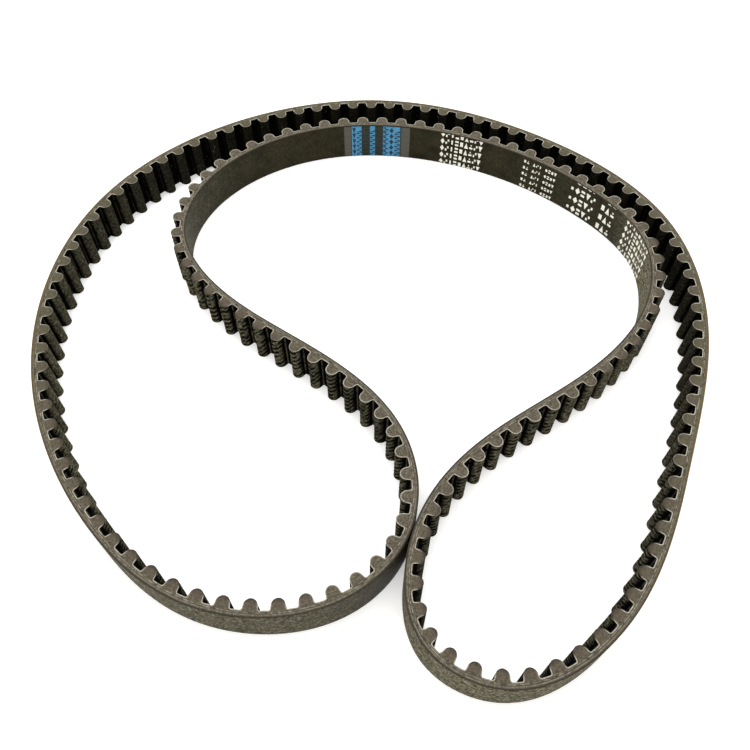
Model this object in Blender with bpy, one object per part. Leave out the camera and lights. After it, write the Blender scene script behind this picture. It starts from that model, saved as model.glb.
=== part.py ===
"""Toothed drive belt, laid on its cut edge in a loose heart-shaped coil.

The belt is an endless band with rounded cross teeth on its inner side. It is built the way
such a belt is made up, in bonded plies from the back inwards: smooth backing rubber, a ply of
tensile cords on the pitch line, tooth rubber, and a thin fabric facing over teeth and lands.
A transfer label lies on the back.

The band bends at every tooth root. Here it is divided at tooth roots into fourteen stretches
that hinge on the pitch line, in two arms that start at the far stretch and meet again at
OPEN_CUT, where the loop is left open by one cut gap.

Units are metres. +Z runs along the belt's width, and the belt stands on z = 0.
"""

import math

import bpy
import numpy as np

# The belt: 166 teeth at 11 mm, so 1826 mm round the pitch line.
PITCH = 0.011
TEETH = 166
WIDTH = 0.022
PITCH_LENGTH = PITCH * TEETH

# Depths from the pitch line, positive towards the teeth.
BACK_FACE = -0.0018
BACKING_INNER = -0.0005
CORD_HALF = 0.0004
RUBBER_UNDER = 0.0005
RUBBER_LAND = 0.00075
FACING_UNDER = 0.00085
FACING_LAND = 0.00115
TOOTH_HEIGHT = 0.00465

# Half widths of a tooth at its root and near its tip, over the facing.
TOOTH_ROOT_HALF = 0.0034
TOOTH_TIP_HALF = 0.0019
FACING_THICKNESS = 0.0003
PLY_GAP = 0.0001

# How much of an inset reaches a tooth's tip corners sideways, because its flanks lean.
TIP_INSET_SHARE = 0.8

# The backing alone reaches the cut edges: every other ply ends this far inside them.
EDGE_RECESS = 0.0001

# Gap between two stretches, centred on their hinge, which lets them turn past each other.
CUT_GAP = 0.0006

# Where the first tooth root lies along the pitch line from the first lay point.
FIRST_ROOT = 0.0078

# The lay: points on the pitch line in millimetres, anticlockwise from the far side's middle.
LAY_MM = (
    (0, 164), (-142, 85), (-158, -10), (-115, -102), (-68, -136), (-4, -129), (15, -104),
    (13, -64), (-32, -16), (-76, 17), (-100, 59), (-94, 92), (-39, 138), (55, 133),
    (117, 92), (140, 55), (135, 13), (97, -32), (44, -70), (18.2, -107), (21, -151),
    (48, -165), (89, -148), (133, -75), (159, 7), (153, 67), (90, 135),
)
SAMPLES_PER_SPAN = 400

# Stretches as (name, first root, last root), counting tooth roots round the belt.
ROOT_STRETCH = ("outer_arc_middle", 162, 174)
OPEN_CUT = 78
LEFT_ARM = (
    ("outer_arc_left", 8, 20),
    ("left_side", 20, 32),
    ("left_lobe_front", 32, 44),
    ("left_lobe_inner", 44, 56),
    ("left_return", 56, 67),
    ("inner_arc_left", 67, OPEN_CUT),
)
RIGHT_ARM = (
    ("outer_arc_right", 150, 162),
    ("right_side", 138, 150),
    ("right_lobe_outer", 126, 138),
    ("right_lobe_front", 114, 126),
    ("right_return", 102, 114),
    ("inner_turn_right", 90, 102),
    ("inner_arc_right", OPEN_CUT, 90),
)

# The transfer label, on the back of the stretch that starts at OPEN_CUT, in tooth roots.
LABEL_STRETCH = "inner_arc_right"
LABEL_FROM = 78.3
LABEL_TO = 81.9
LABEL_OUTER = -0.0021
LABEL_INNER = -0.0019

# Colours as (red, green, blue), roughness, sheen.
LOOKS = {
    "backing_rubber": ((0.052, 0.050, 0.040), 0.62, 0.0),
    "cord_ply": ((0.42, 0.40, 0.34), 0.70, 0.0),
    "tooth_rubber": ((0.105, 0.096, 0.078), 0.75, 0.0),
    "tooth_facing": ((0.060, 0.062, 0.050), 0.85, 0.3),
    "label_film": ((0.085, 0.085, 0.075), 0.40, 0.0),
}


def clear_scene():
    """Remove every object, so the script can be run twice in one file."""
    for thing in list(bpy.data.objects):
        bpy.data.objects.remove(thing, do_unlink=True)


def second_derivatives(points, spans):
    """Second derivatives at the knots of a closed cubic spline with these chord lengths."""
    count = len(points)
    system = np.zeros((count, count))
    right = np.zeros((count, 2))
    for knot in range(count):
        before = spans[knot - 1]
        after = spans[knot]
        following = (knot + 1) % count
        system[knot, knot - 1] += before
        system[knot, knot] += 2.0 * (before + after)
        system[knot, following] += after
        rise = (points[following] - points[knot]) / after
        fall = (points[knot] - points[knot - 1]) / before
        right[knot] = 6.0 * (rise - fall)
    return np.linalg.solve(system, right)


def closed_spline(points):
    """Dense points on the smooth closed curve through the given points."""
    following = np.roll(points, -1, axis=0)
    spans = np.hypot(*(following - points).T)
    bends = second_derivatives(points, spans)
    pieces = []
    for knot, span in enumerate(spans):
        after = (knot + 1) % len(points)
        t = np.linspace(0.0, 1.0, SAMPLES_PER_SPAN, endpoint=False)[:, None]
        straight = points[knot] * (1.0 - t) + points[after] * t
        bow = bends[knot] * ((1.0 - t) ** 3 - (1.0 - t)) + bends[after] * (t**3 - t)
        pieces.append(straight + bow * span**2 / 6.0)
    return np.vstack(pieces)


class Lay:
    """The pitch line as it lies, measured by distance along it."""

    def __init__(self):
        dense = closed_spline(np.array(LAY_MM, dtype=float) / 1000.0)
        closed = np.vstack([dense, dense[:1]])
        along = np.concatenate([[0.0], np.cumsum(np.hypot(*np.diff(closed, axis=0).T))])
        scale = PITCH_LENGTH / along[-1]
        self.along = along * scale
        ahead = np.roll(dense, -1, axis=0) - np.roll(dense, 1, axis=0)
        ahead /= np.hypot(*ahead.T)[:, None]
        inward = np.column_stack([-ahead[:, 1], ahead[:, 0]])
        outline = dense * scale + inward * BACK_FACE
        centre = (outline.min(axis=0) + outline.max(axis=0)) / 2.0
        self.points = closed * scale - centre
        self.inward = np.vstack([inward, inward[:1]])

    def at(self, distance, depth):
        """The point at this distance along the pitch line and this depth towards the teeth."""
        wrapped = distance % PITCH_LENGTH
        place = [np.interp(wrapped, self.along, self.points[:, k]) for k in range(2)]
        inward = [np.interp(wrapped, self.along, self.inward[:, k]) for k in range(2)]
        length = math.hypot(*inward)
        return (place[0] + depth * inward[0] / length, place[1] + depth * inward[1] / length)


def root_distance(root):
    """Distance along the pitch line of a tooth root's middle."""
    return FIRST_ROOT + PITCH * root


def ends_of(first, last):
    """Both ends of a stretch along the pitch line, inside its cut gaps."""
    return root_distance(first) + CUT_GAP / 2.0, root_distance(last) - CUT_GAP / 2.0


def plain_stations(first, last):
    """Distances where a ply without teeth gets a corner: its ends and each tooth's two feet."""
    start, end = ends_of(first, last)
    stations = [start]
    for root in range(first, last):
        middle = root_distance(root + 0.5)
        stations.append(middle - TOOTH_ROOT_HALF)
        stations.append(middle + TOOTH_ROOT_HALF)
    stations.append(end)
    return stations


def toothed_line(first, last, land, inset):
    """(distance, depth) corners over the teeth, for a surface this far inside the facing."""
    start, end = ends_of(first, last)
    tip = FACING_LAND + TOOTH_HEIGHT - inset
    tip_half = TOOTH_TIP_HALF - TIP_INSET_SHARE * inset
    corners = [(start, land)]
    for root in range(first, last):
        middle = root_distance(root + 0.5)
        corners.append((middle - TOOTH_ROOT_HALF + inset, land))
        corners.append((middle - tip_half, tip))
        corners.append((middle + tip_half, tip))
        corners.append((middle + TOOTH_ROOT_HALF - inset, land))
    corners.append((end, land))
    return corners


def backing_outline(first, last):
    stations = plain_stations(first, last)
    outer = [(station, BACK_FACE) for station in stations]
    inner = [(station, BACKING_INNER) for station in reversed(stations)]
    return outer + inner


def cord_outline(first, last):
    stations = plain_stations(first, last)
    outer = [(station, -CORD_HALF) for station in stations]
    inner = [(station, CORD_HALF) for station in reversed(stations)]
    return outer + inner


def rubber_outline(first, last):
    outer = [(station, RUBBER_UNDER) for station in plain_stations(first, last)]
    inner = toothed_line(first, last, RUBBER_LAND, FACING_THICKNESS + PLY_GAP)
    return outer + inner[::-1]


def facing_outline(first, last):
    outer = toothed_line(first, last, FACING_UNDER, FACING_THICKNESS)
    inner = toothed_line(first, last, FACING_LAND, 0.0)
    return outer + inner[::-1]


def label_outline():
    """The label's film, with corners where the backing below it has them."""
    start = root_distance(LABEL_FROM)
    end = root_distance(LABEL_TO)
    below = plain_stations(math.floor(LABEL_FROM), math.ceil(LABEL_TO))
    stations = [start] + [station for station in below if start < station < end] + [end]
    outer = [(station, LABEL_OUTER) for station in stations]
    inner = [(station, LABEL_INNER) for station in reversed(stations)]
    return outer + inner


PLIES = (
    ("backing", "backing_rubber", backing_outline, 0.0),
    ("cord_ply", "cord_ply", cord_outline, EDGE_RECESS),
    ("tooth_rubber", "tooth_rubber", rubber_outline, EDGE_RECESS),
    ("facing", "tooth_facing", facing_outline, EDGE_RECESS),
)


def make_material(name):
    """A Principled BSDF with one look's colour, roughness and sheen."""
    colour, roughness, sheen = LOOKS[name]
    material = bpy.data.materials.new(name)
    material.use_nodes = True
    material.diffuse_color = (*colour, 1.0)
    shader = material.node_tree.nodes["Principled BSDF"]
    shader.inputs["Base Color"].default_value = (*colour, 1.0)
    shader.inputs["Roughness"].default_value = roughness
    shader.inputs["Metallic"].default_value = 0.0
    shader.inputs["Sheen Weight"].default_value = sheen
    return material


def make_slab(name, corners, recess, material, hinge, collection):
    """A flat outline stood up across the belt's width, in its hinge empty's own frame."""
    data = bpy.data.curves.new(name, "CURVE")
    data.dimensions = "2D"
    data.fill_mode = "BOTH"
    data.extrude = WIDTH / 2.0 - recess
    spline = data.splines.new("POLY")
    spline.points.add(len(corners) - 1)
    pivot = hinge["pivot"]
    for point, (x, y) in zip(spline.points, corners):
        point.co = (x - pivot[0], y - pivot[1], 0.0, 1.0)
    spline.use_cyclic_u = True
    data.materials.append(material)
    slab = bpy.data.objects.new(name, data)
    slab.parent = hinge
    slab.location = (0.0, 0.0, WIDTH / 2.0)
    collection.objects.link(slab)
    return slab


def make_hinge(name, pivot, parent, collection):
    """An empty on a hinge's axis, which carries one stretch and the next hinge."""
    hinge = bpy.data.objects.new(name, None)
    hinge.empty_display_size = WIDTH
    hinge["pivot"] = pivot
    hinge.parent = parent
    before = parent["pivot"] if parent else (0.0, 0.0)
    hinge.location = (pivot[0] - before[0], pivot[1] - before[1], 0.0)
    collection.objects.link(hinge)
    return hinge


def make_stretch(lay, stretch, hinge, materials, collection):
    """All the plies of one stretch of belt, and the label where it lies."""
    name, first, last = stretch
    for ply, look, outline, recess in PLIES:
        corners = [lay.at(*corner) for corner in outline(first, last)]
        make_slab(f"{name}_{ply}", corners, recess, materials[look], hinge, collection)
    if name == LABEL_STRETCH:
        corners = [lay.at(*corner) for corner in label_outline()]
        look = materials["label_film"]
        make_slab("transfer_label", corners, EDGE_RECESS, look, hinge, collection)


def make_arm(lay, stretches, near_end, base, materials, collection):
    """A chain of stretches, each hinged at the end that is nearer the base stretch."""
    parent = base
    for stretch in stretches:
        pivot = lay.at(root_distance(stretch[near_end]), 0.0)
        parent = make_hinge(f"hinge_{stretch[0]}", pivot, parent, collection)
        make_stretch(lay, stretch, parent, materials, collection)


def main():
    clear_scene()
    collection = bpy.data.collections.new("timing_belt")
    bpy.context.scene.collection.children.link(collection)
    materials = {name: make_material(name) for name in LOOKS}
    lay = Lay()
    base = make_hinge("belt_base", (0.0, 0.0), None, collection)
    make_stretch(lay, ROOT_STRETCH, base, materials, collection)
    make_arm(lay, LEFT_ARM, 1, base, materials, collection)
    make_arm(lay, RIGHT_ARM, 2, base, materials, collection)


main()
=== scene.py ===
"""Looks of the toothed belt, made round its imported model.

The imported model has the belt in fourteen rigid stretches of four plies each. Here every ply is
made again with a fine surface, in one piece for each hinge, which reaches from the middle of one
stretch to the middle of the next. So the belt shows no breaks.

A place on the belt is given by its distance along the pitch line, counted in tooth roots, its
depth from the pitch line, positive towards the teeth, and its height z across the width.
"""

import math

import bpy
import numpy as np
from mathutils import Euler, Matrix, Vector


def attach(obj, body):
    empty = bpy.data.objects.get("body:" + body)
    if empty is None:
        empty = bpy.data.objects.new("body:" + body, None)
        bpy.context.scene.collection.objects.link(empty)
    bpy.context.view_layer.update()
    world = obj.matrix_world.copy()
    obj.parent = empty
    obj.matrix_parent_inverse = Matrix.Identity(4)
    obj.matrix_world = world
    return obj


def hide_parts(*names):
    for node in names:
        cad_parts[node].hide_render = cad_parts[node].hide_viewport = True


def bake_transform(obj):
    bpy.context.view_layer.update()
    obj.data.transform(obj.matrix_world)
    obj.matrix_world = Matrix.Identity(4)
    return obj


MM = 0.001

# The belt's own sizes, as in the part.
PITCH = 11.0 * MM
TEETH = 166
WIDTH = 22.0 * MM
PITCH_LENGTH = PITCH * TEETH
FIRST_ROOT = 7.8 * MM
BACK_FACE = -1.8 * MM
FACING_LAND = 1.15 * MM
TOOTH_HEIGHT = 4.65 * MM

# The lay: points on the pitch line in millimetres, anticlockwise from the far side's middle.
LAY_MM = (
    (0, 164), (-142, 85), (-158, -10), (-115, -102), (-68, -136), (-4, -129), (15, -104),
    (13, -64), (-32, -16), (-76, 17), (-100, 59), (-94, 92), (-39, 138), (55, 133),
    (117, 92), (140, 55), (135, 13), (97, -32), (44, -70), (18.2, -107), (21, -151),
    (48, -165), (89, -148), (133, -75), (159, 7), (153, 67), (90, 135),
)
SAMPLES_PER_SPAN = 400

# Stretches as (body, first root, last root). The left arm's roots count on past a full turn.
ROOT_STRETCH = ("outer_arc_middle", 162, 174)
LEFT_ARM = (
    ("outer_arc_left", 174, 186),
    ("left_side", 186, 198),
    ("left_lobe_front", 198, 210),
    ("left_lobe_inner", 210, 222),
    ("left_return", 222, 233),
    ("inner_arc_left", 233, 244),
)
RIGHT_ARM = (
    ("outer_arc_right", 150, 162),
    ("right_side", 138, 150),
    ("right_lobe_outer", 126, 138),
    ("right_lobe_front", 114, 126),
    ("right_return", 102, 114),
    ("inner_turn_right", 90, 102),
    ("inner_arc_right", 78, 90),
)

# A little thicker than in the part, so that the facing's pale cut edge shows.
FACING_THICKNESS = 0.4 * MM

# The fine tooth: a round dome on leaning flanks that run out into the lands.
DOME_RADIUS = 3.0 * MM
FLANK_LEAN = math.radians(8.0)
FOOT_FILLET = 0.65 * MM
# Taken off every tooth's height before its random growth is added.
TOOTH_ALLOWANCE = 0.05 * MM
LAND_STEPS = 4
FILLET_STEPS = 4
FLANK_STEPS = 4
DOME_STEPS = 9
PLAIN_STEPS_PER_PITCH = 8

# Heights across the width that the facing has points at.
FACING_LEVELS = 64

# Depths of the inner plies.
CORD_OUTER = -0.45 * MM
CORD_INNER = 0.45 * MM

# How far each end stays back from the open pivot.
OPEN_CUT = 0.03 * MM

# The facing's texture: faint slanted ribs, and short pits in four columns a tooth.
RIB_SPACING = 3.1 * MM
RIB_SLANT = 0.6
RIB_DEPTH = 0.06 * MM
PIT_COLUMNS = (-3.3 * MM, -0.9 * MM, 1.1 * MM, 3.3 * MM)
PIT_ROWS = 12
PIT_HALF_LENGTH = 1.25 * MM
PIT_HALF_HEIGHT = 0.72 * MM
PIT_DEPTH = 0.34 * MM

# Back-face wear and painted light by tooth root: 0 is dark and smooth, 1 is light and mottled.
# Mostly real wear, but the dip near root 45-50 is painted shade beside the left lobe's contact, and
# the peak near root 97-102 is a painted sheen.
WEAR_AND_PAINTED_LIGHT = (
    (0, 0.5), (20, 0.5), (30, 0.60), (36, 0.66), (42, 0.60), (45, 0.2), (50, 0.12), (55, 0.25),
    (60, 0.65), (64, 0.7), (68, 0.25), (72, 0.08), (80, 0.03), (94, 0.08), (97, 0.9), (102, 1.0),
    (106, 0.4), (112, 0.3), (115, 0.6), (118, 0.95), (124, 1.0), (128, 0.75), (135, 0.5), (166, 0.5),
)

# How light the facing's crowns are painted, by tooth root: on the far side they are painted near
# black, the shade in the deep gap between the arcs.
CROWN_LIGHT = (
    (0, 0.10), (9, 0.12), (14, 0.30), (19, 0.55), (24, 0.75), (30, 1.0), (128, 1.0), (134, 0.65),
    (140, 0.30), (148, 0.12), (166, 0.10),
)

# How strongly the facing is pitted, by tooth root.
PITTED = (
    (0, 0.10), (20, 0.15), (28, 0.45), (36, 1.0), (58, 1.0), (66, 0.7), (72, 0.2), (98, 0.2),
    (104, 0.35), (110, 0.9), (114, 1.0), (130, 1.0), (136, 0.35), (145, 0.12), (166, 0.10),
)

# How ochre the outer corner of the cut edge is, by tooth root.
OCHRE = ((0, 1.0), (22, 1.0), (34, 0.0), (126, 0.0), (137, 1.0), (166, 1.0))

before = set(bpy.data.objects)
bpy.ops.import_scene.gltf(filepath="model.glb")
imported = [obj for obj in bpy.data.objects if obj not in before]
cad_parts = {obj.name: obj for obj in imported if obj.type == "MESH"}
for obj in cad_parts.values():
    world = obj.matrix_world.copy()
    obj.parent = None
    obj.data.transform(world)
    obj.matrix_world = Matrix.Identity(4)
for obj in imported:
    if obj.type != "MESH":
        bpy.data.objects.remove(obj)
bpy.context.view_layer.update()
random = np.random.default_rng(11)
tooth_growth = random.normal(0.0, 0.035 * MM, TEETH)
tooth_shift = random.normal(0.0, 0.045 * MM, TEETH)
rib_phase = random.uniform(0.0, 1.0, TEETH)
rib_strength = random.uniform(0.2, 1.0, TEETH)
pit_start = random.uniform(0.0, 1.0, (TEETH, len(PIT_COLUMNS)))
pit_amount = np.clip(random.normal(0.62, 0.45, (TEETH, len(PIT_COLUMNS), PIT_ROWS)), 0.0, 1.0)


# ---------------------------------------------------------------- the lay


def second_derivatives(points, spans):
    """Second derivatives at the knots of a closed cubic spline with these chord lengths."""
    count = len(points)
    system = np.zeros((count, count))
    right = np.zeros((count, 2))
    for knot in range(count):
        before = spans[knot - 1]
        after = spans[knot]
        following = (knot + 1) % count
        system[knot, knot - 1] += before
        system[knot, knot] += 2.0 * (before + after)
        system[knot, following] += after
        rise = (points[following] - points[knot]) / after
        fall = (points[knot] - points[knot - 1]) / before
        right[knot] = 6.0 * (rise - fall)
    return np.linalg.solve(system, right)


def closed_spline(points):
    """Dense points on the smooth closed curve through the given points."""
    following = np.roll(points, -1, axis=0)
    spans = np.hypot(*(following - points).T)
    bends = second_derivatives(points, spans)
    pieces = []
    for knot, span in enumerate(spans):
        after = (knot + 1) % len(points)
        t = np.linspace(0.0, 1.0, SAMPLES_PER_SPAN, endpoint=False)[:, None]
        straight = points[knot] * (1.0 - t) + points[after] * t
        bow = bends[knot] * ((1.0 - t) ** 3 - (1.0 - t)) + bends[after] * (t**3 - t)
        pieces.append(straight + bow * span**2 / 6.0)
    return np.vstack(pieces)


class Lay:
    """The pitch line as it lies, measured by distance along it."""

    def __init__(self):
        dense = closed_spline(np.array(LAY_MM, dtype=float) * MM)
        closed = np.vstack([dense, dense[:1]])
        along = np.concatenate([[0.0], np.cumsum(np.hypot(*np.diff(closed, axis=0).T))])
        scale = PITCH_LENGTH / along[-1]
        self.along = along * scale
        ahead = np.roll(dense, -1, axis=0) - np.roll(dense, 1, axis=0)
        ahead /= np.hypot(*ahead.T)[:, None]
        inward = np.column_stack([-ahead[:, 1], ahead[:, 0]])
        outline = dense * scale + inward * BACK_FACE
        centre = (outline.min(axis=0) + outline.max(axis=0)) / 2.0
        self.points = closed * scale - centre
        self.inward = np.vstack([inward, inward[:1]])

    def at(self, distance, depth):
        """x and y at these distances along the pitch line and depths towards the teeth."""
        wrapped = np.asarray(distance) % PITCH_LENGTH
        inward_x = np.interp(wrapped, self.along, self.inward[:, 0])
        inward_y = np.interp(wrapped, self.along, self.inward[:, 1])
        length = np.hypot(inward_x, inward_y)
        x = np.interp(wrapped, self.along, self.points[:, 0]) + depth * inward_x / length
        y = np.interp(wrapped, self.along, self.points[:, 1]) + depth * inward_y / length
        return x, y

    def ahead(self, distance):
        """The direction of the pitch line here, as a vector."""
        wrapped = distance % PITCH_LENGTH
        inward_x = np.interp(wrapped, self.along, self.inward[:, 0])
        inward_y = np.interp(wrapped, self.along, self.inward[:, 1])
        return Vector((inward_y, -inward_x, 0.0)).normalized()


lay = Lay()


def root_distance(root):
    """Distance along the pitch line of a tooth root's middle."""
    return FIRST_ROOT + PITCH * root


# ---------------------------------------------------------------- meshes


def solid(name, rings, along, depth, height, segment_slots, materials, extra=None):
    """A closed solid lofted through rings of points.

    rings is (stations, points, 3); along, depth and height say where each point is on the belt.
    Ring points run anticlockwise in (depth, height), and segment_slots gives a material for each
    strip of faces between one ring point and the next.
    """
    stations, points, _ = rings.shape
    station = np.arange(stations - 1)[:, None] * points
    point = np.arange(points)[None, :]
    following = (point + 1) % points
    quads = np.stack(
        [station + point, station + following, station + points + following, station + points + point],
        axis=-1,
    ).reshape(-1, 4)
    last = (stations - 1) * points
    caps = [list(range(points))[::-1], list(range(last, last + points))]
    mesh = bpy.data.meshes.new(name)
    mesh.from_pydata(rings.reshape(-1, 3).tolist(), [], quads.tolist() + caps)
    slots = np.tile(np.asarray(segment_slots), stations - 1).tolist() + [segment_slots[0]] * 2
    mesh.polygons.foreach_set("material_index", slots)
    write_attributes(mesh, along, depth, height, extra or {})
    for material in materials:
        mesh.materials.append(material)
    mesh.shade_smooth()
    mesh.set_sharp_from_angle(angle=math.radians(50.0))
    piece = bpy.data.objects.new(name, mesh)
    bpy.context.scene.collection.objects.link(piece)
    return piece


def by_root(table, roots):
    """A table's values at these tooth roots."""
    return np.interp(roots, [row[0] for row in table], [row[1] for row in table])


def write_attributes(mesh, along, depth, height, extra):
    """Stores each point's place on the belt, which the materials read.

    ring is the place in a round belt of the same length, in millimetres, so that a pattern made
    from it meets itself. depth is in millimetres. The wear value (real wear mixed with painted shade and
    a painted sheen), ochre and crown (how light the crowns are painted, near black in painted shade on
    the far side) come from the tables.
    """
    turn = 2.0 * math.pi * np.asarray(along).ravel() / PITCH_LENGTH
    radius = (PITCH_LENGTH / (2.0 * math.pi) - np.ravel(depth)) / MM
    ring = np.column_stack([radius * np.cos(turn), radius * np.sin(turn), np.ravel(height) / MM])
    mesh.attributes.new("ring", "FLOAT_VECTOR", "POINT").data.foreach_set("vector", ring.ravel())
    roots = ((np.ravel(along) - FIRST_ROOT) / PITCH) % TEETH
    values = {"depth": np.ravel(depth) / MM, **extra}
    for name, table in (("wear", WEAR_AND_PAINTED_LIGHT), ("ochre", OCHRE), ("crown", CROWN_LIGHT)):
        values[name] = by_root(table, roots)
    for name, value in values.items():
        data = mesh.attributes.new(name, "FLOAT", "POINT").data
        data.foreach_set("value", np.ravel(value).astype(np.float32))


def place(along, depth, height):
    """Points in space for places on the belt, all given as arrays of one shape.

    The two ends at the open pivot stay a hair apart, so that they don't press into each other.
    """
    first = root_distance(RIGHT_ARM[-1][1]) + OPEN_CUT
    last = root_distance(LEFT_ARM[-1][2]) - OPEN_CUT
    along = np.clip(along, first, last)
    x, y = lay.at(along, depth)
    return np.stack([x, y, height], axis=-1)


# ---------------------------------------------------------------- the tooth's outline


def tooth_profile():
    """One tooth from land middle to land middle.

    Each row is the offset along the belt, the depth, the normal's two parts, and the distance
    over the surface from the tooth's apex.
    """
    dome_depth = FACING_LAND + TOOTH_HEIGHT - DOME_RADIUS
    lean_sin, lean_cos = math.sin(FLANK_LEAN), math.cos(FLANK_LEAN)
    top = (-DOME_RADIUS * lean_cos, dome_depth + DOME_RADIUS * lean_sin)
    fillet_top = FACING_LAND + FOOT_FILLET * (1.0 - lean_sin)
    fillet_end = top[0] - (top[1] - fillet_top) * lean_sin / lean_cos
    foot = fillet_end - FOOT_FILLET * lean_cos
    rows = []
    for offset in np.linspace(-PITCH / 2.0, foot, LAND_STEPS + 1)[:-1]:
        rows.append((offset, FACING_LAND, 0.0, 1.0))
    for angle in np.linspace(0.0, math.pi / 2.0 - FLANK_LEAN, FILLET_STEPS + 1)[:-1]:
        offset = foot + FOOT_FILLET * math.sin(angle)
        rise = FACING_LAND + FOOT_FILLET * (1.0 - math.cos(angle))
        rows.append((offset, rise, -math.sin(angle), math.cos(angle)))
    for share in np.linspace(0.0, 1.0, FLANK_STEPS + 1)[:-1]:
        offset = fillet_end + (top[0] - fillet_end) * share
        rise = fillet_top + (top[1] - fillet_top) * share
        rows.append((offset, rise, -lean_cos, lean_sin))
    for angle in np.linspace(FLANK_LEAN, math.pi / 2.0, DOME_STEPS + 1):
        offset = -DOME_RADIUS * math.cos(angle)
        rise = dome_depth + DOME_RADIUS * math.sin(angle)
        rows.append((offset, rise, -math.cos(angle), math.sin(angle)))
    half = np.array(rows)
    other = half[-2::-1] * np.array([-1.0, 1.0, -1.0, 1.0])
    whole = np.vstack([half, other])
    travelled = np.concatenate([[0.0], np.cumsum(np.hypot(*np.diff(whole[:, :2], axis=0).T))])
    return np.column_stack([whole, travelled - travelled[len(half) - 1]])


PROFILE = tooth_profile()


def toothed_stations(first, last):
    """Along, depth, normal, distance from the apex and tooth number for every station."""
    blocks = []
    for root in range(first, last):
        rows = PROFILE if root == last - 1 else PROFILE[:-1]
        tooth = root % TEETH
        rise = np.clip((rows[:, 1] - FACING_LAND) / TOOTH_HEIGHT, 0.0, 1.0)
        along = root_distance(root + 0.5) + rows[:, 0] + rise * tooth_shift[tooth]
        depth = rows[:, 1] + rise * (tooth_growth[tooth] - TOOTH_ALLOWANCE)
        number = np.full(len(rows), tooth)
        blocks.append(np.column_stack([along, depth, rows[:, 2:], number]))
    along, depth, ahead, inward, from_apex, number = np.vstack(blocks).T
    return along, depth, ahead, inward, from_apex, number.astype(int)


# ---------------------------------------------------------------- materials


class Look:
    """A material whose nodes are added one after another, ending in a Principled BSDF."""

    def __init__(self, name, **sockets):
        self.material = bpy.data.materials.new(name)
        self.material.use_nodes = True
        self.tree = self.material.node_tree
        self.shader = self.tree.nodes["Principled BSDF"]
        self.set(self.shader, **sockets)
        place_on_belt = self.add("ShaderNodeAttribute", {"attribute_name": "ring"})
        self.ring = place_on_belt.outputs["Vector"]

    def set(self, node, **sockets):
        """Links or fills a node's inputs. A name's underscores stand for spaces."""
        for name, value in sockets.items():
            socket = node.inputs[name.replace("_", " ")]
            self.put(socket, value)

    def put(self, socket, value):
        if isinstance(value, bpy.types.NodeSocket):
            self.tree.links.new(value, socket)
        elif socket.type == "RGBA" and len(value) == 3:
            socket.default_value = (*value, 1.0)
        else:
            socket.default_value = value

    def add(self, kind, settings=None, **sockets):
        node = self.tree.nodes.new(kind)
        for name, value in (settings or {}).items():
            setattr(node, name, value)
        self.set(node, **sockets)
        return node

    def value(self, name):
        """A number stored on the mesh's points."""
        return self.add("ShaderNodeAttribute", {"attribute_name": name}).outputs["Fac"]

    def math(self, operation, first, second=0.0, clamp=False):
        node = self.add("ShaderNodeMath", {"operation": operation, "use_clamp": clamp})
        self.put(node.inputs[0], first)
        self.put(node.inputs[1], second)
        return node.outputs[0]

    def stretched(self, along, across, shift=0.0):
        """The ring coordinates with the pattern along and across the belt scaled apart."""
        node = self.add("ShaderNodeMapping", {}, Vector=self.ring)
        node.inputs["Scale"].default_value = (along, along, across)
        node.inputs["Location"].default_value = (shift, shift, shift)
        return node.outputs["Vector"]

    def noise(self, vector, detail=4.0, roughness=0.6, scale=1.0):
        node = self.add(
            "ShaderNodeTexNoise", {}, Vector=vector, Scale=scale, Detail=detail, Roughness=roughness
        )
        return node.outputs["Fac"]

    def specks(self, vector, size):
        """Near 1 at scattered points, 0 between them."""
        cells = self.add("ShaderNodeTexVoronoi", {}, Vector=vector, Scale=1.0)
        return self.span(cells.outputs["Distance"], size, 0.0)

    def span(self, value, low, high, top=1.0):
        """0 at low, top at high, and a straight run between, clamped."""
        node = self.add("ShaderNodeMapRange", {"clamp": True}, Value=value)
        self.set(node, From_Min=low, From_Max=high, To_Min=0.0, To_Max=top)
        return node.outputs["Result"]

    def mix(self, share, first, second):
        node = self.add("ShaderNodeMix", {"data_type": "RGBA"})
        self.put(node.inputs["Factor"], share)
        self.put(node.inputs[6], first)
        self.put(node.inputs[7], second)
        return node.outputs[2]

    def bump(self, height, distance, strength=1.0, below=None):
        """A bump whose height runs over distance, in metres."""
        node = self.add("ShaderNodeBump", {}, Height=height, Distance=distance, Strength=strength)
        if below is not None:
            self.put(node.inputs["Normal"], below)
        return node.outputs["Normal"]

    def finish(self, colour, roughness, normal):
        self.set(self.shader, Base_Color=colour, Roughness=roughness, Normal=normal)
        return self.material


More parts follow.
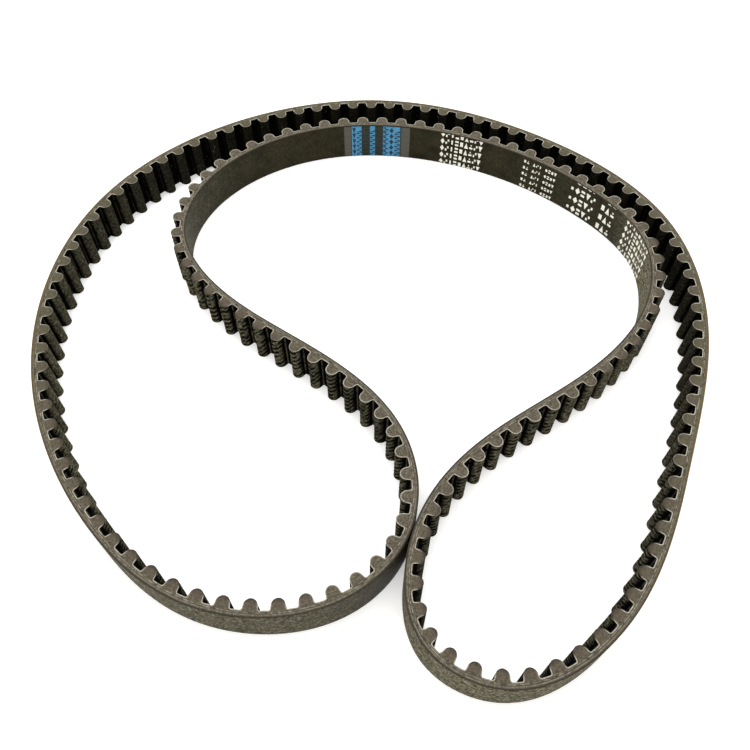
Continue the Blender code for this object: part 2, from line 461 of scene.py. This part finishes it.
def back_face_look():
    """Smooth back: dark and faintly glossy where fresh, light and mottled where it has rubbed, with
    painted shade near the left lobe's contact and a painted sheen near root 97-102.
    """
    look = Look("belt_back_face", Specular_IOR_Level=0.03)
    grain = look.noise(look.stretched(0.85, 0.85), detail=5.0, roughness=0.85)
    mottle = look.noise(look.stretched(0.42, 0.42, 40.0), detail=4.0, roughness=0.7)
    cloud = look.noise(look.stretched(0.09, 0.12, 7.0), detail=3.0)
    # The wear value is real wear mixed with painted light: painted shade darkens the back near the left
    # lobe's contact, and a painted sheen lightens it near root 97-102.
    wear = look.value("wear")
    uneven = look.math("ADD", look.math("MULTIPLY", cloud, 0.7), -0.35)
    worn = look.math("ADD", wear, look.math("MULTIPLY", uneven, wear), clamp=True)
    grey = look.mix(look.span(mottle, 0.38, 0.62), (0.058, 0.053, 0.033), (0.128, 0.115, 0.077))
    dark = look.mix(look.span(cloud, 0.35, 0.7), (0.0085, 0.0073, 0.0024), (0.0205, 0.0178, 0.0074))
    colour = look.mix(worn, dark, grey)
    pale = look.math("MULTIPLY", look.span(grain, 0.52, 0.58, 0.9), worn)
    colour = look.mix(pale, colour, (0.275, 0.252, 0.182))
    pores = look.math("MULTIPLY", look.span(grain, 0.48, 0.42, 0.95), worn)
    colour = look.mix(pores, colour, (0.012, 0.011, 0.006))
    scuff = look.noise(look.stretched(0.16, 1.9, 90.0), detail=6.0, roughness=0.75)
    colour = look.mix(look.span(scuff, 0.62, 0.72, 0.10), colour, (0.14, 0.13, 0.095))
    nick = look.noise(look.stretched(0.9, 0.5, 12.0), detail=2.0)
    colour = look.mix(look.span(nick, 0.74, 0.78, 0.4), colour, (0.16, 0.15, 0.12))
    # On the rounded corner: real ochre where the edge is ochre, elsewhere a painted dark line that stands
    # for the shade at the corner.
    corner = look.mix(look.value("ochre"), (0.020, 0.017, 0.011), (0.120, 0.076, 0.018))
    colour = look.mix(look.span(look.value("depth"), -1.79, -1.72, 0.85), colour, corner)
    roughness = look.span(look.math("ADD", worn, look.math("MULTIPLY", grain, 0.3)), -0.5, 1.3, 0.95)
    normal = look.bump(grain, 0.12 * MM, 1.0)
    normal = look.bump(mottle, 0.08 * MM, 0.8, normal)
    normal = look.bump(scuff, 0.03 * MM, 0.5, normal)
    return look.finish(colour, roughness, normal)


def cut_edge_look(name, pale, dark):
    """Rubber where the belt was sliced to width: fine knife lines along the belt."""
    look = Look(name, Specular_IOR_Level=0.10)
    knife = look.noise(look.stretched(0.05, 0.0), detail=2.0)
    depth = look.value("depth")
    lines = look.add("ShaderNodeCombineXYZ", {}, X=look.math("MULTIPLY", depth, 1.7), Y=knife)
    streak = look.noise(lines.outputs["Vector"], detail=5.0, roughness=0.7)
    grain = look.noise(look.stretched(0.95, 0.95, 20.0), detail=5.0, roughness=0.85)
    blotch = look.noise(look.stretched(0.45, 0.45, 60.0), detail=3.0)
    colour = look.mix(look.span(streak, 0.42, 0.58, 0.85), dark, pale)
    colour = look.mix(look.span(blotch, 0.46, 0.62, 0.6), colour, dark)
    colour = look.mix(look.span(grain, 0.53, 0.60, 0.6), colour, tuple(1.6 * c for c in pale))
    colour = look.mix(look.span(grain, 0.47, 0.41, 0.7), colour, tuple(0.35 * c for c in dark))
    olive = look.math("MULTIPLY", look.value("ochre"), 0.45)
    colour = look.mix(olive, colour, (0.078, 0.075, 0.040))
    front = look.span(look.value("wear"), 0.35, 0.60)
    brown = look.math("MULTIPLY", look.span(depth, 0.8, 2.2, 0.45), front)
    colour = look.mix(brown, colour, (0.075, 0.058, 0.042))
    # Painted shade: the cut edge is darker towards the tooth tips on the front lobes.
    painted_tip_shade = look.math("MULTIPLY", look.span(depth, 3.6, 5.4, 0.65), front)
    colour = look.mix(painted_tip_shade, colour, (0.030, 0.023, 0.016))
    rim_colour = look.mix(look.value("ochre"), (0.036, 0.030, 0.021), (0.125, 0.078, 0.016))
    colour = look.mix(look.span(depth, -0.98, -1.20, 0.97), colour, rim_colour)
    inner_line = look.span(look.math("ABSOLUTE", look.math("ADD", depth, 0.92)), 0.20, 0.08, 0.55)
    colour = look.mix(inner_line, colour, (0.034, 0.028, 0.019))
    normal = look.bump(streak, 0.07 * MM, 0.9)
    normal = look.bump(grain, 0.09 * MM, 1.0, normal)
    return look.finish(colour, 0.82, normal)


def cord_look():
    """Cut tensile cord: thin pale broken fibres that run along the belt, in dark adhesive."""
    look = Look("belt_cord_edge", Specular_IOR_Level=0.08)
    run = look.noise(look.stretched(0.07, 0.3), detail=5.0, roughness=0.7)
    fibre = look.noise(look.stretched(0.35, 3.0, 30.0), detail=6.0, roughness=0.8)
    depth = look.value("depth")
    wander = look.math("MULTIPLY", look.math("ADD", run, -0.5), 1.6)
    strand = look.math("ABSOLUTE", look.math("ADD", depth, look.math("ADD", wander, -0.22)))
    shown = look.math("MULTIPLY", look.span(strand, 0.24, 0.08), look.span(fibre, 0.44, 0.58))
    colour = look.mix(look.span(fibre, 0.4, 0.6), (0.046, 0.040, 0.029), (0.115, 0.103, 0.078))
    colour = look.mix(look.math("MULTIPLY", shown, 0.75), colour, (0.34, 0.31, 0.24))
    normal = look.bump(fibre, 0.10 * MM, 1.0)
    return look.finish(colour, 0.8, normal)


def facing_look():
    """Woven facing: olive on the tooth's crown and black in the pits, with painted shade: black down
    between the teeth, and near black on the far side's crowns.
    """
    look = Look("belt_facing", Specular_IOR_Level=0.01)
    depth = look.value("depth")
    grain = look.noise(look.stretched(0.95, 0.95), detail=5.0, roughness=0.85)
    thread = look.noise(look.stretched(0.7, 1.7, 35.0), detail=4.0, roughness=0.7)
    patch = look.noise(look.stretched(0.28, 0.22, 15.0), detail=4.0)
    uneven = look.math("MULTIPLY", look.math("ADD", patch, -0.5), 2.4)
    high = look.span(look.math("ADD", depth, uneven), 2.9, 4.2)
    crown = look.mix(look.span(thread, 0.40, 0.60), (0.034, 0.031, 0.018), (0.115, 0.106, 0.068))
    crown = look.mix(look.span(grain, 0.53, 0.60, 0.8), crown, (0.240, 0.225, 0.158))
    crown = look.mix(look.value("rib"), crown, (0.030, 0.027, 0.017))
    crown = look.mix(look.span(grain, 0.47, 0.41, 0.9), crown, (0.005, 0.0045, 0.003))
    # Painted shade: where the crown value is low, on the far side, the crowns are painted near black.
    crown_in_painted_shade = look.mix(look.value("crown"), (0.0020, 0.0019, 0.0014), crown)
    # Painted shade: below the crown, down the flanks and over the lands, the facing is painted near black.
    colour = look.mix(high, (0.0014, 0.0013, 0.0010), crown_in_painted_shade)
    foot = look.math("MULTIPLY", look.value("foot"), look.span(patch, 0.38, 0.58, 0.8))
    foot = look.math("MULTIPLY", foot, look.value("crown"))
    colour = look.mix(foot, colour, (0.085, 0.079, 0.056))
    colour = look.mix(look.span(look.value("pit"), 0.10, 0.34, 0.99), colour, (0.0020, 0.0019, 0.0014))
    lint = look.specks(look.stretched(0.55, 0.45, 3.0), 0.10)
    sparse = look.span(look.noise(look.stretched(0.12, 0.12, 50.0), detail=2.0), 0.52, 0.60)
    colour = look.mix(look.math("MULTIPLY", lint, sparse), colour, (0.62, 0.60, 0.54))
    normal = look.bump(thread, 0.12 * MM, 1.0)
    normal = look.bump(grain, 0.12 * MM, 1.0, normal)
    return look.finish(colour, 0.9, normal)


def facing_edge_look():
    """The facing's cut edge: a pale fibrous line round every tooth and land."""
    look = Look("belt_facing_edge", Specular_IOR_Level=0.08)
    fibre = look.noise(look.stretched(1.1, 1.1, 9.0), detail=5.0, roughness=0.8)
    patch = look.noise(look.stretched(0.30, 0.30, 70.0), detail=3.0)
    colour = look.mix(look.span(fibre, 0.36, 0.58), (0.21, 0.195, 0.155), (0.50, 0.475, 0.40))
    colour = look.mix(look.span(patch, 0.56, 0.70, 0.7), colour, (0.075, 0.067, 0.050))
    # Painted shade: the facing's edge is painted near black towards the tooth tips on the front lobes.
    painted_tip_shade = look.math(
        "MULTIPLY", look.span(look.value("depth"), 2.6, 4.2, 0.95), look.span(look.value("wear"), 0.35, 0.60)
    )
    colour = look.mix(painted_tip_shade, colour, (0.012, 0.010, 0.007))
    near = look.math("MULTIPLY", look.span(look.value("crown"), 0.3, 0.9), 0.22)
    colour = look.mix(near, colour, (0.080, 0.071, 0.055))
    normal = look.bump(fibre, 0.08 * MM, 1.0)
    return look.finish(colour, 0.9, normal)


def film_look():
    """Transfer label film: thin, a little glossier than the rubber, with pale ends."""
    look = Look("label_film", Specular_IOR_Level=0.12)
    smear = look.noise(look.stretched(0.25, 0.9), detail=4.0)
    grain = look.noise(look.stretched(2.0, 2.0, 5.0), detail=4.0)
    colour = look.mix(look.span(smear, 0.32, 0.68), (0.010, 0.0125, 0.0085), (0.021, 0.025, 0.018))
    colour = look.mix(look.math("MULTIPLY", look.value("ends"), 0.7), colour, (0.088, 0.084, 0.069))
    normal = look.bump(grain, 0.02 * MM, 0.6)
    return look.finish(colour, look.span(smear, 0.2, 0.9, 0.62), normal)


def ink_look(name, fresh, worn, gap, broken):
    """Printed ink that is a little broken where the rubber's grain shows through it."""
    look = Look(name, Specular_IOR_Level=0.25)
    grain = look.noise(look.stretched(3.2, 3.2, 25.0), detail=4.0, roughness=0.7)
    patch = look.noise(look.stretched(0.6, 0.6, 33.0), detail=3.0)
    colour = look.mix(look.span(patch, 0.35, 0.65), worn, fresh)
    colour = look.mix(look.span(grain, 0.56, 0.68, broken), colour, gap)
    normal = look.bump(grain, 0.02 * MM, 0.6)
    return look.finish(colour, 0.55, normal)


BACK_LOOK = back_face_look()
EDGE_LOOK = cut_edge_look("belt_backing_edge", (0.195, 0.172, 0.136), (0.088, 0.076, 0.056))
RUBBER_LOOK = cut_edge_look("belt_tooth_rubber", (0.124, 0.108, 0.080), (0.070, 0.060, 0.042))
CORD_LOOK = cord_look()
FACING_LOOK = facing_look()
FACING_EDGE_LOOK = facing_edge_look()
FILM_LOOK = film_look()
WHITE_INK = ink_look("white_ink", (0.80, 0.79, 0.70), (0.62, 0.61, 0.53), (0.06, 0.06, 0.045), 0.55)
BLUE_INK = ink_look("blue_ink", (0.050, 0.245, 0.430), (0.034, 0.180, 0.340), (0.010, 0.040, 0.075), 0.8)
DARK_INK = ink_look("dark_ink", (0.006, 0.012, 0.018), (0.008, 0.020, 0.032), (0.012, 0.05, 0.09), 0.3)


# ---------------------------------------------------------------- the plies


def plain_stations(first, last):
    """Distances along the belt for a ply without teeth."""
    count = (last - first) * PLAIN_STEPS_PER_PITCH + 1
    return np.linspace(root_distance(first), root_distance(last), count)


def swept(name, first, last, section, slots, materials):
    """A ply of one cross section, given as (depth, height) points in metres."""
    stations = plain_stations(first, last)
    section = np.asarray(section)
    shape = (len(stations), len(section))
    along = np.broadcast_to(stations[:, None], shape)
    depth = np.broadcast_to(section[:, 0], shape)
    height = np.broadcast_to(section[:, 1], shape)
    rings = place(along, depth, height)
    return solid(name, rings, along, depth, height, slots, materials)


def make_backing(name, first, last):
    """Backing rubber, with its outer corners rounded over."""
    corner = 0.22 * MM
    top = WIDTH
    inner, outer = CORD_OUTER, BACK_FACE
    section = [(inner, 0.0), (inner, top)]
    section += [(depth, top) for depth in np.linspace(inner, outer + corner, 5)[1:]]
    for angle in np.radians((30.0, 60.0)):
        section.append((outer + corner * (1.0 - math.sin(angle)), top - corner * (1.0 - math.cos(angle))))
    section += [(outer, height) for height in np.linspace(top - corner, corner, 13)]
    for angle in np.radians((60.0, 30.0)):
        section.append((outer + corner * (1.0 - math.sin(angle)), corner * (1.0 - math.cos(angle))))
    section += [(depth, 0.0) for depth in np.linspace(outer + corner, inner, 5)[:-1]]
    slots = []
    for index, (depth, _) in enumerate(section):
        following = section[(index + 1) % len(section)][0]
        slots.append(0 if max(depth, following) <= outer + 0.5 * corner else 1)
    return swept(name, first, last, section, slots, [BACK_LOOK, EDGE_LOOK])


def make_cord_ply(name, first, last):
    """The cord ply: its cut edge is a low bead, sunk a little between the rubbers."""
    sunk = 0.12 * MM
    middle = (CORD_OUTER + CORD_INNER) / 2.0
    half = (CORD_INNER - CORD_OUTER) / 2.0
    bead = 0.10 * MM
    section = []
    for share in np.linspace(1.0, -1.0, 7):
        section.append((middle + half * share, WIDTH - sunk + bead * math.sqrt(1.0 - share**2)))
    for share in np.linspace(-1.0, 1.0, 7):
        section.append((middle + half * share, sunk - bead * math.sqrt(1.0 - share**2)))
    return swept(name, first, last, section, [0] * len(section), [CORD_LOOK])


def make_tooth_rubber(name, first, last):
    """Tooth rubber: fills each tooth up to the facing, and lies thin under the lands."""
    along, depth, ahead, inward, _, _ = toothed_stations(first, last)
    along = along - FACING_THICKNESS * ahead
    depth = depth - FACING_THICKNESS * inward
    sunk = 0.03 * MM
    shares = np.linspace(0.0, 1.0, 4)
    reach = depth - CORD_INNER
    top_row = [CORD_INNER + reach * share for share in shares[::-1]]
    bottom_row = [CORD_INNER + reach * share for share in shares]
    depths = np.stack(top_row + bottom_row, axis=1)
    points = depths.shape[1]
    alongs = np.repeat(along[:, None], points, axis=1)
    heights = np.array([WIDTH - sunk] * len(shares) + [sunk] * len(shares))
    heights = np.broadcast_to(heights, alongs.shape)
    rings = place(alongs, depths, heights)
    return solid(name, rings, alongs, depths, heights, [0] * points, [RUBBER_LOOK])


def rib_field(from_apex, depth, height, tooth):
    """Faint slanted ribs over the upper part of each tooth: 0 on a crest, up to 1 in a groove."""
    turn = (height + RIB_SLANT * from_apex) / RIB_SPACING + rib_phase[tooth]
    groove = 0.5 + 0.5 * np.cos(2.0 * math.pi * turn)
    share = np.clip((depth - FACING_LAND) / TOOTH_HEIGHT / 0.4, 0.0, 1.0)
    return groove * share * rib_strength[tooth] * (0.4 + 0.6 * by_root(PITTED, tooth))


def pit_field(from_apex, height, tooth):
    """Short pits in columns down each tooth: 0 outside them, up to 1 in their middles."""
    field = np.zeros(np.broadcast(from_apex, height).shape)
    for column, place_of_column in enumerate(PIT_COLUMNS):
        row = (height + RIB_SLANT * from_apex) / RIB_SPACING - pit_start[tooth, column]
        nearest = np.round(row).astype(int)
        up = (row - nearest) * RIB_SPACING / PIT_HALF_HEIGHT
        sideways = (from_apex - place_of_column) / PIT_HALF_LENGTH
        amount = pit_amount[tooth, column, nearest % PIT_ROWS]
        field = np.maximum(field, amount * np.exp(-(up**2) - sideways**2))
    return field * by_root(PITTED, tooth)


def make_facing(name, first, last):
    """The woven facing over teeth and lands, with its ribs and pits."""
    along, depth, ahead, inward, from_apex, tooth = toothed_stations(first, last)
    levels = np.linspace(0.0, WIDTH, FACING_LEVELS + 1)
    edge = np.clip(np.minimum(levels, WIDTH - levels) / (0.7 * MM), 0.0, 1.0)
    column = (slice(None), None)
    pit = pit_field(from_apex[column], levels[None, :], tooth[column]) * edge
    rib = rib_field(from_apex[column], depth[column], levels[None, :], tooth[column]) * edge
    pushed = PIT_DEPTH * pit + RIB_DEPTH * rib
    exposed_along = along[column] - pushed * ahead[column]
    exposed_depth = depth[column] - pushed * inward[column]
    under_along = np.repeat((along - FACING_THICKNESS * ahead)[column], 2, axis=1)
    under_depth = np.repeat((depth - FACING_THICKNESS * inward)[column], 2, axis=1)
    alongs = np.hstack([exposed_along, under_along])
    depths = np.hstack([exposed_depth, under_depth])
    heights = np.concatenate([levels, [WIDTH, 0.0]])
    heights = np.broadcast_to(heights, alongs.shape)
    in_fillet = (depth < FACING_LAND + FOOT_FILLET) & (inward < 0.97) & (inward > 0.3)
    none = np.zeros((len(along), 2))
    extra = {
        "pit": np.hstack([pit, none]),
        "rib": np.hstack([rib, none]),
        "foot": np.repeat(in_fillet[column], len(heights[0]), axis=1),
    }
    rings = place(alongs, depths, heights)
    slots = [0] * FACING_LEVELS + [1, 0, 1]
    looks = [FACING_LOOK, FACING_EDGE_LOOK]
    return solid(name, rings, alongs, depths, heights, slots, looks, extra)


PLIES = (
    ("backing", "backing_rubber", make_backing),
    ("cord_ply", "cord_ply", make_cord_ply),
    ("tooth_rubber", "tooth_rubber", make_tooth_rubber),
    ("facing", "tooth_facing", make_facing),
)


# ---------------------------------------------------------------- pieces at the hinges


def middle_root(stretch):
    return (stretch[1] + stretch[2]) // 2


def bends():
    """Every hinge as (lower body, upper body, child, hinge root, first root, last root)."""
    before = ROOT_STRETCH
    for stretch in LEFT_ARM:
        end = stretch[2] if stretch is LEFT_ARM[-1] else middle_root(stretch)
        yield before[0], stretch[0], stretch[0], stretch[1], middle_root(before), end
        before = stretch
    before = ROOT_STRETCH
    for stretch in RIGHT_ARM:
        start = stretch[1] if stretch is RIGHT_ARM[-1] else middle_root(stretch)
        yield stretch[0], before[0], stretch[0], stretch[2], start, middle_root(before)
        before = stretch


def bend_piece(piece):
    """Bakes a piece's placement into its mesh."""
    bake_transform(piece)


def make_plies():
    for lower, upper, child, root, first, last in bends():
        for ply, slot, make in PLIES:
            piece = make(f"{ply}_at_{child}_hinge", first, last)
            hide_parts(f"{lower}_{ply}", f"{upper}_{ply}")
            bend_piece(piece)


# ---------------------------------------------------------------- label and print


def prism(outline, outer, inner):
    """Along, depth, height and faces of a thin plate on the back, from an outline of (root, height).

    An even outline is faced in a ladder of quads, so that a long plate follows the belt's bend.
    """
    count = len(outline)
    along = np.array([root_distance(root) for root, _ in outline] * 2)
    height = np.array([height for _, height in outline] * 2)
    depth = np.repeat([outer, inner], count)
    if count % 2:
        cap = [tuple(range(count))]
    else:
        cap = [(i, i + 1, count - 2 - i, count - 1 - i) for i in range(count // 2 - 1)]
    faces = cap + [tuple(count + corner for corner in reversed(face)) for face in cap]
    for corner in range(count):
        following = (corner + 1) % count
        faces.append((following, corner, count + corner, count + following))
    return along, depth, height, faces


# Length of one quad along a patch.
STRIP_STEP = 0.8 * MM


def strip(first, last, low, high):
    """Outline of a long patch between two roots and heights, with points close enough to bend."""
    count = max(1, math.ceil((last - first) * PITCH / STRIP_STEP))
    roots = np.linspace(first, last, count + 1)
    return [(root, low) for root in roots] + [(root, high) for root in roots[::-1]]


def plates(name, outlines, outer, inner, material, extra=None):
    """One piece of many thin closed plates lying on the back."""
    faces, alongs, depths, heights = [], [], [], []
    base = 0
    for outline in outlines:
        along, depth, height, own_faces = prism(outline, outer, inner)
        faces += [tuple(base + corner for corner in face) for face in own_faces]
        base += len(along)
        alongs.append(along)
        depths.append(depth)
        heights.append(height)
    along, depth, height = (np.concatenate(part) for part in (alongs, depths, heights))
    mesh = bpy.data.meshes.new(name)
    mesh.from_pydata(place(along, depth, height).tolist(), [], faces)
    values = {key: rule(along) for key, rule in (extra or {}).items()}
    write_attributes(mesh, along, depth, height, values)
    mesh.materials.append(material)
    piece = bpy.data.objects.new(name, mesh)
    bpy.context.scene.collection.objects.link(piece)
    return piece


def box(left, right, low, high):
    return ((left, low), (right, low), (right, high), (left, high))


# Plain marks in a unit cell, as outlines of (along, up). They are shapes, and none is a letter.
MARKS = {
    "block": (box(0.20, 0.80, 0.12, 0.88),),
    "half": (box(0.16, 0.84, 0.10, 0.42), box(0.40, 0.62, 0.62, 0.86)),
    "post": (box(0.34, 0.66, 0.14, 0.90),),
    "twins": (box(0.16, 0.84, 0.04, 0.36), box(0.16, 0.84, 0.64, 0.96)),
    "check": (box(0.12, 0.44, 0.08, 0.46), box(0.54, 0.86, 0.54, 0.92)),
    "rise": (((0.08, 0.0), (0.90, 0.0), (0.49, 1.0)),),
    "fall": (((0.49, 0.0), (0.90, 1.0), (0.08, 1.0)),),
    "gem": (((0.49, 0.0), (0.92, 0.5), (0.49, 1.0), (0.06, 0.5)),),
    "spot": (box(0.28, 0.70, 0.28, 0.70),),
    "gap": (),
    "darts": (((0.02, 0.0), (0.85, 0.27), (0.02, 0.54)), ((0.98, 0.46), (0.15, 0.73), (0.98, 1.0))),
    "ticks": (box(0.02, 0.56, 0.0, 0.28), box(0.44, 0.98, 0.34, 0.62), box(0.02, 0.56, 0.68, 0.96)),
}
PRINT_LOW = 0.35 * MM
PRINT_HIGH = WIDTH - 0.35 * MM
# A mark cut off at the belt's edge is left out when less than this of it is left.
LEAST_MARK = 0.2 * MM
# How far print, film and ink stand above the back, and how far their undersides sink into it.
INK_STANDS = 0.03 * MM
SINK = 0.02 * MM
FILM_STANDS = 0.05 * MM
LAYER_STEP = 0.02 * MM


def marked_row(marks, first, last, low, high):
    """Outlines for one row of marks between two roots, cut off near the belt's edges."""
    outlines = []
    step = (last - first) / len(marks)
    for index, mark in enumerate(marks):
        for outline in MARKS[mark]:
            points = []
            for left, up in outline:
                height = min(max(low + (high - low) * up, PRINT_LOW), PRINT_HIGH)
                points.append((first + step * (index + left), height))
            tall = max(point[1] for point in points) - min(point[1] for point in points)
            if tall > LEAST_MARK:
                outlines.append(points)
    return outlines


def printed_block(marks, first, last, row_low, row_height, row_spacing):
    """Rows of the same marks stacked across the width."""
    outlines = []
    low = row_low
    while low < PRINT_HIGH:
        outlines += marked_row(marks, first, last, low, low + row_height)
        low += row_spacing
    return outlines


def make_print():
    """White printing on the back of the inner arc, as plain marks."""
    size_marks = ("gem", "check", "post", "twins", "block", "rise", "half", "check", "fall")
    note_marks = ("block", "half", "gap", "rise", "check", "post", "gap", "gem", "twins", "block", "fall")
    maker_marks = ("spot", "gem", "twins", "fall", "check", "gap", "block", "rise", "half")
    outlines = printed_block(size_marks, 83.70, 86.05, -0.4 * MM, 3.9 * MM, 4.9 * MM)
    outlines += printed_block(note_marks, 88.35, 90.30, 0.6 * MM, 2.3 * MM, 4.3 * MM)
    outlines += printed_block(maker_marks, 91.15, 94.05, 1.2 * MM, 4.4 * MM, 6.6 * MM)
    outlines += printed_block(size_marks, 94.80, 97.15, -0.4 * MM, 3.9 * MM, 4.9 * MM)
    ink = plates("white_print", outlines, BACK_FACE - INK_STANDS, BACK_FACE + SINK, WHITE_INK)
    bend_piece(ink)


LABEL_FROM = 78.47
LABEL_TO = 82.03
LABEL_BANDS = ((78.88, 79.41), (79.87, 80.14), (80.58, 81.50))
# Columns of dark marks as (first root, last root, mark, row spacing).
LABEL_COLUMNS = (
    (78.89, 79.14, "fall", 4.0 * MM), (79.16, 79.40, "darts", 3.0 * MM), (79.88, 80.13, "darts", 3.0 * MM),
    (80.59, 80.87, "ticks", 3.4 * MM), (80.90, 81.18, "gem", 4.0 * MM), (81.21, 81.49, "darts", 3.0 * MM),
)
LABEL_MARGIN = 0.5 * MM
LABEL_MARK_SHARE = 0.96


def end_paleness(along):
    """1 over the label's two pale ends, 0 over its middle."""
    root = (along - FIRST_ROOT) / PITCH
    return np.where((root < LABEL_BANDS[0][0]) | (root > LABEL_BANDS[-1][1] + 0.05), 1.0, 0.0)


def make_label():
    """The transfer label: film, blue bands across the width, and plain dark marks in them."""
    low, high = LABEL_MARGIN, WIDTH - LABEL_MARGIN
    film_face = BACK_FACE - FILM_STANDS
    band_face = film_face - LAYER_STEP
    cuts = (LABEL_FROM, LABEL_BANDS[0][0], LABEL_BANDS[-1][1] + 0.1, LABEL_TO)
    parts = [strip(a, b, low, high) for a, b in zip(cuts[:-1], cuts[1:])]
    film = plates(
        "transfer_label_film", parts, film_face, BACK_FACE + SINK, FILM_LOOK, {"ends": end_paleness}
    )
    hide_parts("transfer_label")
    bands = [strip(a, b, low, high) for a, b in LABEL_BANDS]
    band = plates("label_blue_bands", bands, band_face, film_face, BLUE_INK)
    marks = []
    for first, last, mark, spacing in LABEL_COLUMNS:
        for foot in np.arange(low + 0.3 * MM, high - LABEL_MARK_SHARE * spacing, spacing):
            marks += marked_row((mark,), first, last, foot, foot + LABEL_MARK_SHARE * spacing)
    dark = plates("label_dark_marks", marks, band_face - LAYER_STEP, band_face, DARK_INK)
    for piece in (film, band, dark):
        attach(piece, "inner_arc_right")


# ---------------------------------------------------------------- stage, light, camera


def make_floor():
    bpy.ops.mesh.primitive_plane_add(size=8.0, location=(0.0, 0.0, -0.00005))
    floor = bpy.context.object
    floor.name = "floor"
    look = Look("pale_floor", Specular_IOR_Level=0.1)
    look.set(look.shader, Base_Color=(0.90, 0.90, 0.895), Roughness=0.9)
    look.set(look.shader, Emission_Color=(1.0, 1.0, 1.0), Emission_Strength=0.3)
    floor.data.materials.append(look.material)


def make_light(name, place_at, size, power, target=(0.0, 0.0, 0.0)):
    data = bpy.data.lights.new(name, "AREA")
    data.shape = "SQUARE"
    data.size = size
    data.energy = power
    light = bpy.data.objects.new(name, data)
    light.location = place_at
    light.rotation_euler = (Vector(target) - Vector(place_at)).to_track_quat("-Z", "Y").to_euler()
    bpy.context.scene.collection.objects.link(light)


def make_lights():
    world = bpy.data.worlds.new("soft_studio")
    world.use_nodes = True
    background = world.node_tree.nodes["Background"]
    background.inputs["Color"].default_value = (1.0, 0.985, 0.95, 1.0)
    background.inputs["Strength"].default_value = 0.90
    bpy.context.scene.world = world
    bpy.context.scene.view_settings.view_transform = "Standard"
    make_light("top_softbox", (0.0, 0.25, 1.1), 1.2, 11.0)
    make_light("front_fill", (-0.5, -1.0, 0.9), 0.9, 3.0)


def make_camera():
    """Looks down on the belt from just in front of it."""
    data = bpy.data.cameras.new("camera")
    data.sensor_width = 36.0
    data.lens = 36.61
    data.clip_start = 0.01
    camera = bpy.data.objects.new("camera", data)
    camera.location = (0.0008, -0.2247, 0.3098)
    tilt = Euler((math.radians(33.84), 0.0, 0.0)).to_matrix()
    roll = Euler((0.0, 0.0, math.radians(0.36))).to_matrix()
    camera.rotation_euler = (tilt @ roll).to_euler()
    bpy.context.scene.collection.objects.link(camera)
    bpy.context.scene.camera = camera


make_camera()
make_floor()
make_lights()
make_plies()
make_print()
make_label()
